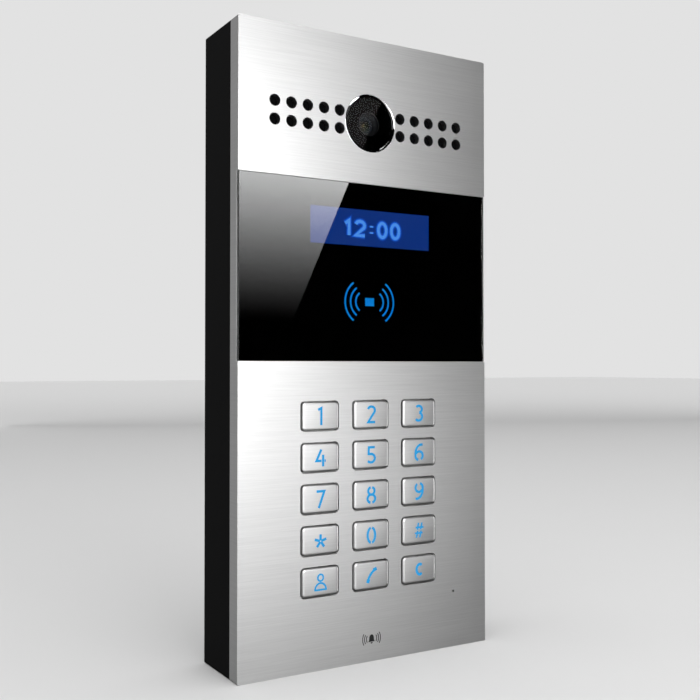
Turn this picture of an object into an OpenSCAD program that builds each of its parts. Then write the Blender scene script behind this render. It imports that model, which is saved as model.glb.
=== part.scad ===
// Door intercom panel: a surface-mounted door station with a camera, display, card reader and keypad.
// X runs to the right as a visitor sees it and Z runs up. Y = 0 is the wall and the front faces -Y.
// Depths (the second number of most places) are measured from the wall towards the visitor.

/* [Overall] */
// Width of the panel
panel_w = 130; // [128:1:136]
// Height of the panel
panel_h = 280; // [278:1:290]
// Depth from the wall to the front face
panel_d = 36; // [36:1:42]
// Corner radius of the panel seen from the front
panel_r = 0.8; // [0.5:0.1:1.5]

/* [Front panel] */
// Thickness of the aluminium face
face_t = 3; // [2.8:0.1:3.2]
// Depth of the rim around the face
rim_d = 8; // [7.6:0.1:8.4]
// Thickness of the rim
rim_t = 3; // [2.5:0.1:3]
// Width of the shadow gap between the front panel and the housing
seam = 0.6; // [0.4:0.1:0.8]

/* [Window] */
// Height of the dark glass window
window_h = 80; // [78:0.5:80]
// Height of the window's centre over the panel's centre
window_z = 34.4; // [33:0.1:35]
// Depth of the recess that the window lies in
window_recess = 1.5; // [1.4:0.1:1.6]
// Thickness of the glass
glass_t = 1.3; // [1.1:0.1:1.3]

/* [Display] */
// Width of the display's clear area
display_w = 63; // [56:1:64]
// Height of the display's clear area
display_h = 16.4; // [14:0.1:17]
// Sideways place of the display's centre
display_x = 1.1; // [-1:0.1:1.5]
// Height of the display's centre
display_z = 54.5; // [54:0.1:55]

/* [Card reader] */
// Height of the card symbol's centre
reader_z = 21.2; // [20:0.1:22]
// Radii of the symbol's three waves
wave_radii = [4.8, 7.5, 10.3];
// Half of the angle that each wave covers
wave_half_angle = 55; // [45:1:60]
// Width of the symbol's lines
wave_line = 0.9; // [0.7:0.1:1.1]

/* [Camera] */
// Height of the camera's axis
camera_z = 102; // [101:0.5:103]
// Outer diameter of the polished ring
bezel_dia = 26.4; // [26:0.1:26.6]
// Diameter of the camera's cover glass
camera_glass_dia = 24.1; // [23.6:0.1:24.1]
// Depth of the cover glass behind the front face
camera_glass_set = 0.5; // [0.4:0.1:0.7]
// Thickness of the cover glass
camera_glass_t = 1.2; // [1:0.1:1.2]

/* [Speakers] */
// Diameter of each sound hole
sound_hole_dia = 5.2; // [4.4:0.1:5.2]
// Distance between neighbouring sound holes
sound_hole_pitch = 8; // [7.8:0.1:8.2]
// Sound holes in each row beside the camera
sound_hole_count = 5; // [4:1:5]
// Distance from the camera's axis to the nearest sound holes
sound_hole_first = 16; // [16:0.1:16.4]

/* [Keypad] */
// Width of a key
key_w = 18.2; // [17:0.1:18.4]
// Height of a key
key_h = 12.5; // [11.5:0.1:12.7]
// Corner radius of a key
key_r = 1.6; // [1:0.1:2]
// Gap around each key
key_gap = 0.5; // [0.3:0.1:0.5]
// Distance between key columns
key_pitch_x = 26; // [25.6:0.1:26.4]
// Distance between key rows
key_pitch_z = 18; // [17.6:0.1:18]
// Height of the top row's centre
key_top_z = -29.5; // [-30:0.1:-29]
// How far a key stands out of the face
key_proud = 0.7; // [0.4:0.1:1]
// How far a key can be pressed
key_travel = 0.8; // [0.4:0.1:0.8]

/* [Housing] */
// Thickness of the housing's outer walls
housing_t = 3; // [2.5:0.1:3]
// Depth of the tray that the wall bracket lies in
tray_d = 4; // [3.8:0.1:4.2]
// Thickness of the housing's back
back_t = 2.5; // [2.2:0.1:2.8]
// Width and height of the cable well
well_size = [84, 46];
// Height of the cable well's centre
well_z = -85; // [-86:0.5:-84]

/* [Wall bracket] */
// Width and height of the bracket plate
bracket_size = [120, 270];
// Thickness of the bracket's steel
bracket_t = 1.5; // [1.2:0.1:1.5]
// Distances between the wall screws, across and up
wall_screw_pitch = [96, 210];
// Diameter of the wall screw holes
wall_hole_dia = 4.6; // [4.2:0.1:5]
// Distance between the two slots for a flush wall box
box_slot_pitch = 60; // [60:0.5:60]

/* [Hidden] */
$fn = 48;
eps = 0.5; // how far a cut runs past the face it opens

// Depths of the main layers, measured from the wall
face_back = panel_d - face_t;
rim_back = panel_d - rim_d;
housing_front = rim_back - seam;
floor_front = tray_d + back_t;
film_front = panel_d - glass_t;
film_back = panel_d - window_recess;
carrier_d = [face_back - 5, face_back - 3.4];
board_d = [16, 17.6];

// Window
window_side_gap = 0.4;
window_open = [108, 66];
film_size = [panel_w - 2 * window_side_gap, window_h - 0.2];

// Screws that hold the front panel to the housing
panel_screw_x = 58.5;
panel_screw_z = [133.5, 84, -14, -133.5];
panel_post_r = 4;
panel_boss_r = 4;
screw_m3_r = 1.5;
screw_m3_hole_r = 1.6;
screw_m3_head = [2.75, 2.2];

// The small screws that hold the inner modules
small_r = 1.2;
small_hole_r = 1.3;
small_head = [2.2, 1.5];
small_boss_r = 2.2;
small_len = 3.8;

// Keys
key_names = [
    ["key_1", "key_2", "key_3"],
    ["key_4", "key_5", "key_6"],
    ["key_7", "key_8", "key_9"],
    ["key_star", "key_0", "key_hash"],
    ["key_guard", "key_call", "key_clear"]
];
key_rows = len(key_names);
key_columns = len(key_names[0]);
key_flange = [20.4, 14.8];
key_flange_d = [face_back - 1.4, face_back - 0.05];
key_plunger_r = 2;
key_plunger_d = face_back - 2.4;
mat_web_d = [face_back - 4.2, face_back - 3.5];
mat_size = [80, 92];
keypad_z = key_top_z - 2 * key_pitch_z;
keypad_board_d = [mat_web_d[0] - 1.6, mat_web_d[0]];
keypad_screw_x = 13;
keypad_screw_z = [for (i = [-1:1]) keypad_z + i * 1.5 * key_pitch_z];
led_size = [1.6, 0.8, 0.6];
led_x = 6.6;

// Display and card reader
lcd_glass_size = [69, 23];
lcd_glass_d = [film_back - 1.9, film_back - 0.1];
lcd_frame_size = [73, 25];
lcd_board_size = [78, 30];
lcd_board_d = [carrier_d[1], carrier_d[1] + 1.2];
ribbon_x = -16;
lcd_connector = [20, 3.6];
lcd_connector_z = 43;
lcd_connector_back = carrier_d[0] - 0.6;
carrier_size = [121, 68];
carrier_screw_x = 58.2;
carrier_screw_z = [window_z - 28, window_z + 28];
antenna_size = [98, 35];
antenna_z = 19.6;
antenna_d = [film_back - 2.9, film_back - 1.9];
coil_turns = 4;
coil_pitch = 1.2;
coil_line = 0.6;
icon_guide_size = [32, 20];
icon_wave_x = 2.5;
icon_chip = [4.8, 3.6];

// Camera
bezel_back = face_back;
bezel_lip_r = 10;
lens_r = 6.5;
lens_d = [face_back - 13, face_back - 0.4];
lens_seat = lens_d[1] - 3;
lens_bore_r = 4.3;
lens_rim_r = 4.2;
lens_holder_back = lens_d[0] - 6;
camera_boss_z = 20;
camera_plate_d = [face_back - 7, face_back - 5];
camera_board_size = 28;
night_light_r = 8.05;
night_light_count = 6;

// Speakers
speaker_x = 32.5;
speaker_size = [42, 20];
speaker_wall = 1.5;
speaker_frame_d = [face_back - 9, face_back - 1.4];
speaker_screw_z = 12.6;
speaker_tab_back = speaker_frame_d[1] - 2;
speaker_tab_h = 2 * speaker_screw_z + 5.4;

// Microphone
mic_x = 46;
mic_z = -114;
mic_hole_r = 0.6;

// Parts on the main board
main_board_size = [104, 158];
main_board_z = -39;
board_screw_places = [[-47.5, 34], [47.5, 34], [-47.5, -25], [47.5, -25], [-47.5, -114], [47.5, -114]];
socket_size = [21.3, 16];
socket_place = [30, -94];
socket_d = [3, board_d[0]];
socket_hole = [13.5, 11.8];
socket_hole_d = [5.2, 11.8];
terminal_pitch = 3.5;
terminal_d = [7.5, board_d[0]];
terminal_z = -70;
terminal_depth = 9;
terminal_rows = [[-36.5, 12], [12, 6]];

// Tamper switch and its plunger, which rests on the wall bracket
tamper_place = [-28, -44];
tamper_stem_r = 1.6;
tamper_guide_r = [1.65, 3.2];
tamper_guide_end = 8.9;
tamper_collar_r = 4.4;
tamper_collar_d = [10.8, 11.4];
tamper_body_r = 2.5;
tamper_spring_r = 3.5;
tamper_wire_r = 0.25;

// Wall bracket
hook_x = 38;
hook_z = 104;
hook_w = 12;
hook_lip_h = 5;
hook_slot_h = 5.5;
lock_x = 32;
lock_z = -panel_h / 2 + 5.4;
lock_d = 8;
slot_len = 10;
lock_tab = [16, 12.5];
lock_tab_hole = [16, 11];
hook_d = [8, 9.5];
hook_arm_z = hook_z - 2.25;

// ---- helpers ----

// Extrudes a shape drawn in X and Z from one depth to another
module slab(from, to) {
    translate([0, -from, 0]) rotate([90, 0, 0]) linear_extrude(to - from) children();
}

// A rectangle with round corners
module rounded(size, r) {
    union() {
        square([size[0] - 2 * r, size[1]], center = true);
        square([size[0], size[1] - 2 * r], center = true);
        for (x = [-1, 1], z = [-1, 1])
            translate([x * (size[0] / 2 - r), z * (size[1] / 2 - r)]) circle(r);
    }
}

// A slot with round ends, lying along X
module slot(length, r) {
    union() {
        square([length - 2 * r, 2 * r], center = true);
        for (x = [-1, 1]) translate([x * (length / 2 - r), 0]) circle(r);
    }
}

module disc(place, r, from, to) {
    slab(from, to) translate(place) circle(r);
}

function key_place(row, column) = [
    (column - (key_columns - 1) / 2) * key_pitch_x,
    key_top_z - row * key_pitch_z
];

// Sweeps a round line of radius r along points, as one closed solid
module sweep(points, r, sides = 8) {
    n = len(points);
    way = [for (i = [0:n - 1]) points[min(i + 1, n - 1)] - points[max(i - 1, 0)]];
    along = [for (w = way) w / norm(w)];
    side_of = [for (t = along) let (s = cross(t, abs(t[0]) < 0.9 ? [1, 0, 0] : [0, 0, 1])) s / norm(s)];
    rings = [
        for (i = [0:n - 1], k = [0:sides - 1])
            let (a = 360 * k / sides, other = cross(along[i], side_of[i]))
                points[i] + r * (cos(a) * side_of[i] + sin(a) * other)
    ];
    walls = [
        for (i = [0:n - 2], k = [0:sides - 1])
            let (a = i * sides + k, b = i * sides + (k + 1) % sides)
                [a, b, b + sides, a + sides]
    ];
    first = [for (k = [sides - 1:-1:0]) k];
    last = [for (k = [0:sides - 1]) (n - 1) * sides + k];
    polyhedron(rings, concat([first], walls, [last]), convexity = 6);
}

// Points on a smooth curve through the given ones, each given as [x, depth, z]
function curve_point(a, b, c, d, t) =
    0.5 * ((2 * b) + (c - a) * t + (2 * a - 5 * b + 4 * c - d) * t * t + (3 * b - a - 3 * c + d) * t * t * t);
function curve(route, steps = 4) = let (n = len(route)) concat(
    [
        for (i = [0:n - 2], s = [0:steps - 1])
            curve_point(route[max(i - 1, 0)], route[i], route[i + 1], route[min(i + 2, n - 1)], s / steps)
    ],
    [route[n - 1]]
);
function outward(route) = [for (p = route) [p[0], -p[1], p[2]]];

// ---- front panel and window ----

module sound_holes() {
    for (side = [-1, 1], i = [0:sound_hole_count - 1], row = [-0.5, 0.5])
        translate([side * (sound_hole_first + i * sound_hole_pitch), camera_z + row * sound_hole_pitch])
            circle(d = sound_hole_dia);
}

module key_openings() {
    for (row = [0:key_rows - 1], column = [0:key_columns - 1])
        translate(key_place(row, column))
            rounded([key_w + 2 * key_gap, key_h + 2 * key_gap], key_r + key_gap);
}

// Each boss behind the face: its place, its radius, the depth it starts at and its hole's radius and end
function panel_bosses() = concat(
    [
        for (side = [-1, 1], z = panel_screw_z)
            [[side * panel_screw_x, z], panel_boss_r, rim_back, screw_m3_hole_r, face_back + 1.2]
    ],
    [
        for (side = [-1, 1], z = carrier_screw_z)
            [[side * carrier_screw_x, z], small_boss_r, carrier_d[1], small_hole_r, face_back + 0.2]
    ],
    [
        for (side = [-1, 1], z = keypad_screw_z)
            [[side * keypad_screw_x, z], small_boss_r, keypad_board_d[1], small_hole_r, face_back + 0.2]
    ],
    [
        for (side = [-1, 1])
            [
                [0, camera_z + side * camera_boss_z],
                small_boss_r, camera_plate_d[1], small_hole_r, face_back + 0.2
            ]
    ],
    [
        for (x = [-1, 1], z = [-1, 1])
            [
                [x * speaker_x, camera_z + z * speaker_screw_z],
                small_boss_r, speaker_frame_d[1], small_hole_r, face_back + 1.2
            ]
    ]
);

module front_panel() color("silver") difference() {
    union() {
        difference() {
            slab(rim_back, panel_d) rounded([panel_w, panel_h], panel_r);
            slab(rim_back - eps, face_back)
                square([panel_w - 2 * rim_t, panel_h - 2 * rim_t], center = true);
        }
        for (boss = panel_bosses())
            disc(boss[0], boss[1], boss[2], face_back + eps);
    }
    for (boss = panel_bosses())
        disc(boss[0], boss[3], boss[2] - eps, boss[4]);
    // the recess for the window runs out through both sides, and is open behind the display and antenna
    slab(film_back, panel_d + eps) translate([0, window_z]) square([panel_w + 2, window_h], center = true);
    slab(face_back - eps, panel_d + eps) translate([0, window_z]) square(window_open, center = true);
    disc([0, camera_z], bezel_dia / 2 + 0.05, face_back - eps, panel_d + eps);
    slab(face_back - eps, panel_d + eps) sound_holes();
    slab(face_back - eps, panel_d + eps) key_openings();
    disc([mic_x, mic_z], mic_hole_r, face_back - eps, panel_d + eps);
}

module window_glass() color([0.03, 0.03, 0.04]) {
    slab(film_front, panel_d) translate([0, window_z]) square(film_size, center = true);
}

module wave(r, side) {
    far = 2 * r;
    intersection() {
        difference() {
            circle(r + wave_line / 2);
            circle(r - wave_line / 2);
        }
        polygon([
            [0, 0],
            [side * far * cos(wave_half_angle), far * sin(wave_half_angle)],
            [side * far * 2, 0],
            [side * far * cos(wave_half_angle), -far * sin(wave_half_angle)]
        ]);
    }
}

// The printed film behind the glass: black, with a clear display area and a cut-out card symbol
module window_film() color("black") {
    slab(film_back, film_front) difference() {
        translate([0, window_z]) square(film_size, center = true);
        translate([display_x, display_z]) square([display_w, display_h], center = true);
        translate([0, reader_z]) {
            square(icon_chip, center = true);
            for (side = [-1, 1], r = wave_radii)
                translate([side * icon_wave_x, 0]) wave(r, side);
        }
    }
}

// ---- display and card reader ----

module display_carrier() color("dimgray") difference() {
    union() {
        slab(carrier_d[0], carrier_d[1]) translate([0, window_z]) rounded(carrier_size, 3);
        for (x = [-44, 44], z = [-14, 14])
            disc([x, antenna_z + z], 2, carrier_d[0], antenna_d[0]);
    }
    for (side = [-1, 1], z = carrier_screw_z)
        disc([side * carrier_screw_x, z], small_hole_r, carrier_d[0] - eps, carrier_d[1] + eps);
    // an opening for the display's connector, and one behind the coil
    slab(carrier_d[0] - eps, carrier_d[1] + eps)
        translate([ribbon_x, lcd_connector_z])
            square([lcd_connector[0] + 1, lcd_connector[1] + 1], center = true);
    slab(carrier_d[0] - eps, carrier_d[1] + eps) translate([0, antenna_z]) square([74, 20], center = true);
}

module lcd_glass() color([0.1, 0.2, 0.5]) {
    slab(lcd_glass_d[0], lcd_glass_d[1])
        translate([display_x, display_z]) square(lcd_glass_size, center = true);
}

module lcd_frame() color("black") {
    translate([display_x, 0, display_z]) difference() {
        slab(lcd_board_d[1], lcd_glass_d[1]) square(lcd_frame_size, center = true);
        slab(lcd_glass_d[0], lcd_glass_d[1] + eps)
            square([lcd_glass_size[0] + 0.2, lcd_glass_size[1] + 0.2], center = true);
    }
}

module lcd_board() color("darkgreen") {
    slab(lcd_board_d[0], lcd_board_d[1])
        translate([display_x, display_z]) square(lcd_board_size, center = true);
    // its connector reaches back through the carrier
    slab(lcd_connector_back, lcd_board_d[0])
        translate([ribbon_x, lcd_connector_z]) square(lcd_connector, center = true);
}

module antenna_board() color("darkgreen") {
    slab(antenna_d[0], antenna_d[1]) translate([0, antenna_z]) square(antenna_size, center = true);
}

// Copper turns around the card symbol, each a closed ring joined to the next by a short bridge
module antenna_coil() color("goldenrod") {
    slab(antenna_d[1], antenna_d[1] + 0.2) translate([0, antenna_z]) union() {
        for (turn = [0:coil_turns - 1]) {
            inset = 2 + 2 * turn * coil_pitch;
            outer = [antenna_size[0] - inset, antenna_size[1] - inset];
            difference() {
                square(outer, center = true);
                square([outer[0] - 2 * coil_line, outer[1] - 2 * coil_line], center = true);
            }
        }
        translate([20, antenna_size[1] / 2 - 1 - (coil_turns - 1) * coil_pitch - coil_line])
            square([coil_line, (coil_turns - 1) * coil_pitch + coil_line]);
    }
}

module icon_light_guide() color([0.75, 0.85, 1]) {
    slab(antenna_d[1] + 0.3, film_back - 0.05) translate([0, reader_z]) rounded(icon_guide_size, 2);
    for (x = [-12, 12], z = [-6, 6])
        slab(antenna_d[1], antenna_d[1] + 0.3) translate([x, reader_z + z]) square([2, 1.2], center = true);
}

// ---- camera ----

module camera_bezel() color("white") translate([0, -bezel_back, camera_z]) rotate([90, 0, 0]) {
    length = panel_d - bezel_back;
    seat = camera_glass_dia / 2 + 0.05;
    chamfer_w = 0.95;
    glass_back = length - camera_glass_set - camera_glass_t;
    rotate_extrude() polygon([
        [bezel_lip_r, 0],
        [bezel_dia / 2, 0],
        [bezel_dia / 2, length],
        [seat + chamfer_w, length],
        [seat, length - camera_glass_set],
        [seat, glass_back],
        [bezel_lip_r, glass_back]
    ]);
}

module camera_glass() color("black") {
    glass_front = panel_d - camera_glass_set;
    disc([0, camera_z], camera_glass_dia / 2, glass_front - camera_glass_t, glass_front);
}

module lens_barrel() color("black") difference() {
    disc([0, camera_z], lens_r, lens_d[0], lens_d[1]);
    mouth_r = 5.2;
    back_bore_r = 3;
    disc([0, camera_z], mouth_r, lens_d[1] - 1, lens_d[1] + eps);
    disc([0, camera_z], lens_bore_r, lens_seat, lens_d[1] + eps);
    disc([0, camera_z], back_bore_r, lens_d[0] - eps, lens_seat + eps);
}

// Front lens of the barrel: a disc with a domed face
module lens_element() color([0.2, 0.25, 0.35])
translate([0, -(lens_seat + 0.1), camera_z]) rotate([90, 0, 0]) {
    dome_r = 6;
    rim_t = 1.1;
    sink = sqrt(dome_r * dome_r - lens_rim_r * lens_rim_r);
    rotate_extrude() intersection() {
        translate([0, rim_t - sink]) circle(dome_r);
        square([lens_rim_r, dome_r]);
    }
}

module camera_board() color("darkgreen") {
    translate([0, 0, camera_z]) {
        board_back = lens_holder_back - 1.2;
        sensor_w = 8;
        connector = [8, 4];
        slab(board_back, lens_holder_back) square(camera_board_size, center = true);
        slab(lens_holder_back, lens_holder_back + 1) square(sensor_w, center = true);
        slab(board_back - 2.4, board_back) translate([0, -8]) square(connector, center = true);
    }
}

// Holds the lens, the camera board and the polished ring against the panel
module camera_bracket() color("dimgray") difference() {
    plate = [24, 48];
    collar_r = [9.6, 11.3];
    holder_w = [15, 20];
    translate([0, 0, camera_z]) union() {
        slab(camera_plate_d[0], camera_plate_d[1]) rounded(plate, 4);
        slab(camera_plate_d[1] - eps, bezel_back) circle(collar_r[1]);
        slab(lens_holder_back, camera_plate_d[0] + eps) square(holder_w[1], center = true);
    }
    disc([0, camera_z], collar_r[0], camera_plate_d[1], bezel_back + eps);
    disc([0, camera_z], lens_r + 0.05, lens_d[0] - 3, bezel_back);
    slab(lens_holder_back - eps, lens_d[0] - 2) translate([0, camera_z]) square(holder_w[0], center = true);
    for (side = [-1, 1]) {
        hole_z = camera_z + side * camera_boss_z;
        disc([0, hole_z], small_hole_r, camera_plate_d[0] - eps, camera_plate_d[1] + eps);
    }
}

// A ring board with lamps for the dark, hidden behind the cover glass
module night_lights() color("white") difference() {
    ring_d = [camera_plate_d[1] + 0.1, camera_plate_d[1] + 1.1];
    ring_r = 9.4;
    lamp_r = 1.2;
    translate([0, 0, camera_z]) union() {
        slab(ring_d[0], ring_d[1]) circle(ring_r);
        for (i = [0:night_light_count - 1])
            rotate([0, i * 360 / night_light_count, 0]) translate([night_light_r, 0, 0])
                slab(ring_d[1] - 0.5, bezel_back - 0.4) circle(lamp_r);
    }
    disc([0, camera_z], lens_r + 0.2, camera_plate_d[1] - eps, bezel_back);
}

// ---- speakers ----

module at_speakers() {
    for (side = [-1, 1]) translate([side * speaker_x, 0, camera_z]) children();
}

module speaker_frames() color("dimgray") at_speakers() difference() {
    union() {
        slab(speaker_tab_back, speaker_frame_d[1]) rounded(speaker_size, 9);
        slab(speaker_tab_back, speaker_frame_d[1]) square([8, speaker_tab_h], center = true);
        slab(speaker_frame_d[0], speaker_frame_d[1] - 1) rounded([35, 15], 7);
    }
    slab(speaker_frame_d[0] + 1.2, speaker_frame_d[1] + eps) rounded([33, 13], 6);
    slab(speaker_frame_d[1] - 1, speaker_frame_d[1] + eps)
        rounded([speaker_size[0] - 2 * speaker_wall, speaker_size[1] - 2 * speaker_wall], 8);
    for (z = [-1, 1])
        disc([0, z * speaker_screw_z], small_hole_r, speaker_frame_d[0], speaker_frame_d[1] + eps);
}

module speaker_magnets() color("gray") at_speakers() {
    disc([0, 0], 7, speaker_frame_d[0] - 4, speaker_frame_d[0]);
}

module speaker_cones() color([0.12, 0.12, 0.12]) at_speakers() union() {
    slab(speaker_frame_d[1] - 1, speaker_frame_d[1] - 0.5)
        rounded([speaker_size[0] - 2 * speaker_wall, speaker_size[1] - 2 * speaker_wall], 8);
    disc([0, 0], 5, speaker_frame_d[0] + 3, speaker_frame_d[1] - 0.8);
}

module speaker_gaskets() color([0.1, 0.1, 0.1]) at_speakers() {
    slab(speaker_frame_d[1], face_back - 0.2) difference() {
        rounded(speaker_size, 9);
        rounded([speaker_size[0] - 2 * speaker_wall, speaker_size[1] - 2 * speaker_wall], 8);
    }
}

module speaker_mesh() color("black") at_speakers() {
    slab(face_back - 0.2, face_back) rounded(speaker_size, 9);
}

// ---- keypad ----

// A metal key cap with a flange that stops it behind the panel, and a plunger that meets the mat's dome
module key(row, column) color([0.78, 0.78, 0.78]) {
    place = key_place(row, column);
    union() {
        slab(key_flange_d[1] - eps, panel_d + key_proud) translate(place) rounded([key_w, key_h], key_r);
        slab(key_flange_d[0], key_flange_d[1]) translate(place) square(key_flange, center = true);
        disc(place, key_plunger_r, key_plunger_d, key_flange_d[0] + eps);
    }
}

module keypad_mat() color([0.85, 0.85, 0.85]) difference() {
    union() {
        slab(mat_web_d[0], mat_web_d[1]) translate([0, keypad_z]) rounded(mat_size, 3);
        for (row = [0:key_rows - 1], column = [0:key_columns - 1])
            translate([key_place(row, column)[0], -mat_web_d[1] + 0.1, key_place(row, column)[1]])
                rotate([90, 0, 0]) cylinder(r1 = 4.6, r2 = 2.6, h = key_plunger_d - mat_web_d[1] + 0.1);
    }
    // each dome is hollow under its top
    for (row = [0:key_rows - 1], column = [0:key_columns - 1])
        translate([key_place(row, column)[0], -mat_web_d[0] + eps, key_place(row, column)[1]])
            rotate([90, 0, 0]) cylinder(r1 = 4.4, r2 = 2.4, h = 1 + eps);
    for (side = [-1, 1], z = keypad_screw_z)
        disc([side * keypad_screw_x, z], small_boss_r + 0.3, mat_web_d[0] - eps, face_back);
    for (row = [0:key_rows - 1], column = [0:key_columns - 1], side = [-1, 1])
        slab(mat_web_d[0] - eps, mat_web_d[1] + eps)
            translate(key_place(row, column) + [side * led_x, 0]) square([2.2, 1.6], center = true);
}

module keypad_board() color("darkgreen") difference() {
    slab(keypad_board_d[0], keypad_board_d[1]) translate([0, keypad_z]) rounded(mat_size, 3);
    for (side = [-1, 1], z = keypad_screw_z)
        disc([side * keypad_screw_x, z], small_hole_r, keypad_board_d[0] - eps, keypad_board_d[1] + eps);
}

module keypad_leds() color([0.7, 0.85, 1]) {
    for (row = [0:key_rows - 1], column = [0:key_columns - 1], side = [-1, 1])
        slab(keypad_board_d[1], keypad_board_d[1] + led_size[2])
            translate(key_place(row, column) + [side * led_x, 0])
                square([led_size[0], led_size[1]], center = true);
}

// ---- microphone ----

module microphone() color("silver") {
    disc([mic_x, mic_z], 3, face_back - 4.6, face_back - 1.2);
}

module microphone_boot() color([0.1, 0.1, 0.1]) difference() {
    disc([mic_x, mic_z], 4.6, face_back - 5, face_back);
    disc([mic_x, mic_z], 3.02, face_back - 5 - eps, face_back - 1.2);
    disc([mic_x, mic_z], 1, face_back - 2, face_back + eps);
}

// ---- housing ----

module seal_gasket() color([0.08, 0.08, 0.08]) {
    inset = 1;
    slab(housing_front, rim_back) difference() {
        square([panel_w - 2 * inset, panel_h - 2 * inset], center = true);
        square([panel_w - 2 * rim_t + 0.6, panel_h - 2 * rim_t + 0.6], center = true);
    }
}

module housing_walls() {
    difference() {
        slab(0, housing_front) rounded([panel_w, panel_h], panel_r);
        slab(floor_front, housing_front + eps)
            square([panel_w - 2 * housing_t, panel_h - 2 * housing_t], center = true);
        slab(-eps, tray_d) square([panel_w - 2 * housing_t, panel_h - 2 * housing_t], center = true);
    }
}

module housing_posts() {
    for (side = [-1, 1], z = panel_screw_z)
        disc([side * panel_screw_x, z], panel_post_r, tray_d, housing_front);
    for (place = board_screw_places)
        disc(place, 3, tray_d, board_d[0]);
    slab(tray_d, board_d[0]) translate([0, well_z])
        square([well_size[0] + 4, well_size[1] + 4], center = true);
    disc(tamper_place, tamper_guide_r[1], tray_d, tamper_guide_end);
    // blocks around the two pockets that the bracket's lock tabs stand in
    for (side = [-1, 1])
        slab(tray_d, 15) translate([side * lock_x, -panel_h / 2 + 7.5]) square([22, 13], center = true);
}

module rear_housing() color([0.07, 0.07, 0.07]) difference() {
    union() {
        housing_walls();
        housing_posts();
    }
    for (side = [-1, 1], z = panel_screw_z) {
        disc([side * panel_screw_x, z], screw_m3_hole_r, 0, housing_front + eps);
        disc([side * panel_screw_x, z], screw_m3_head[0] + 0.2, 0, 8);
    }
    for (place = board_screw_places)
        disc(place, small_hole_r, 10, board_d[0] + eps);
    slab(-eps, board_d[0] + eps) translate([0, well_z]) square(well_size, center = true);
    disc(tamper_place, tamper_guide_r[0], 0, tamper_guide_end + eps);
    for (side = [-1, 1]) {
        slab(-eps, floor_front + eps)
            translate([side * hook_x, hook_arm_z + bracket_t + 0.25 - hook_slot_h / 2])
                square([hook_w + 2, hook_slot_h], center = true);
        slab(-eps, 13) translate([side * lock_x, -panel_h / 2 + 8.6]) square([18, 7.2], center = true);
        translate([side * lock_x, -lock_d, -panel_h / 2 - eps]) {
            cylinder(r = screw_m3_hole_r, h = 8);
            cylinder(r = screw_m3_head[0] + 0.2, h = 2.4 + eps);
        }
    }
}

// ---- main board ----

module main_board() color("darkgreen") difference() {
    slab(board_d[0], board_d[1]) translate([0, main_board_z]) rounded(main_board_size, 2);
    for (place = board_screw_places)
        disc(place, small_hole_r, board_d[0] - eps, board_d[1] + eps);
}

module relays() color("royalblue") {
    for (x = [-42, -30])
        slab(board_d[1], board_d[1] + 8) translate([x, 8]) square([9, 16], center = true);
}

module capacitors() color([0.2, 0.2, 0.25]) {
    for (place = [[24, 10], [34, 10], [29, -1]])
        disc(place, 4, board_d[1], board_d[1] + 8);
}

module board_connectors() color("ivory") {
    // processor, camera, speakers, microphone, display and keypad connectors, in that order
    slab(board_d[1], board_d[1] + 1.6) translate([0, -2]) square([17, 17], center = true);
    for (place = [[0, 30], [-24, 28], [24, 28], [40, -84]])
        slab(board_d[1], board_d[1] + 4) translate(place) square([8, 5], center = true);
    for (place = [[ribbon_x, 22.5], [0, -62]])
        slab(board_d[1], board_d[1] + 2) translate(place) square([20, 4], center = true);
}

// Pluggable screw terminals. Each way has a wire mouth below and a screw facing the installer.
module terminal_blocks() color("green") {
    for (block = terminal_rows) {
        length = block[1] * terminal_pitch;
        difference() {
            slab(terminal_d[0], terminal_d[1])
                translate([block[0], terminal_z - terminal_depth / 2]) square([length, terminal_depth]);
            for (i = [0:block[1] - 1]) {
                x = block[0] + (i + 0.5) * terminal_pitch;
                disc([x, terminal_z + 1.5], 1.3, terminal_d[0] - eps, terminal_d[0] + 1);
                translate([x, -(terminal_d[0] + 5), terminal_z - terminal_depth / 2 - eps])
                    cylinder(r = 1.3, h = 4 + eps);
            }
        }
    }
}

// The network socket opens to the left, so the plug lies flat in the cable well
module network_socket() color("gainsboro") difference() {
    slab(socket_d[0], socket_d[1]) translate(socket_place) square(socket_size, center = true);
    slab(socket_hole_d[0], socket_hole_d[1])
        translate(socket_place - [(socket_size[0] - socket_hole[0]) / 2 + eps, 0])
            square([socket_hole[0] + 2 * eps, socket_hole[1]], center = true);
    slab(socket_hole_d[1] - eps, socket_hole_d[1] + 1.4)
        translate(socket_place - [(socket_size[0] - 4) / 2 + eps, 0])
            square([4 + 2 * eps, 6], center = true);
}

// ---- tamper switch ----

module tamper_switch() color("black") {
    disc(tamper_place, tamper_body_r, tamper_collar_d[1] + 0.8, board_d[0]);
}

module tamper_plunger() color("orangered") union() {
    disc(tamper_place, tamper_stem_r, bracket_t + 0.05, tamper_collar_d[1]);
    disc(tamper_place, tamper_collar_r, tamper_collar_d[0], tamper_collar_d[1]);
}

module tamper_spring() color("lightgray") {
    turns = 4;
    steps = 14;
    from = tamper_collar_d[1] + tamper_wire_r + 0.05;
    to = board_d[0] - tamper_wire_r - 0.05;
    sweep([
        for (i = [0:turns * steps])
            let (a = 360 * i / steps, d = from + (to - from) * i / (turns * steps))
                [tamper_place[0] + tamper_spring_r * cos(a), -d, tamper_place[1] + tamper_spring_r * sin(a)]
    ], tamper_wire_r, 6);
}

// ---- wall bracket ----

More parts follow.
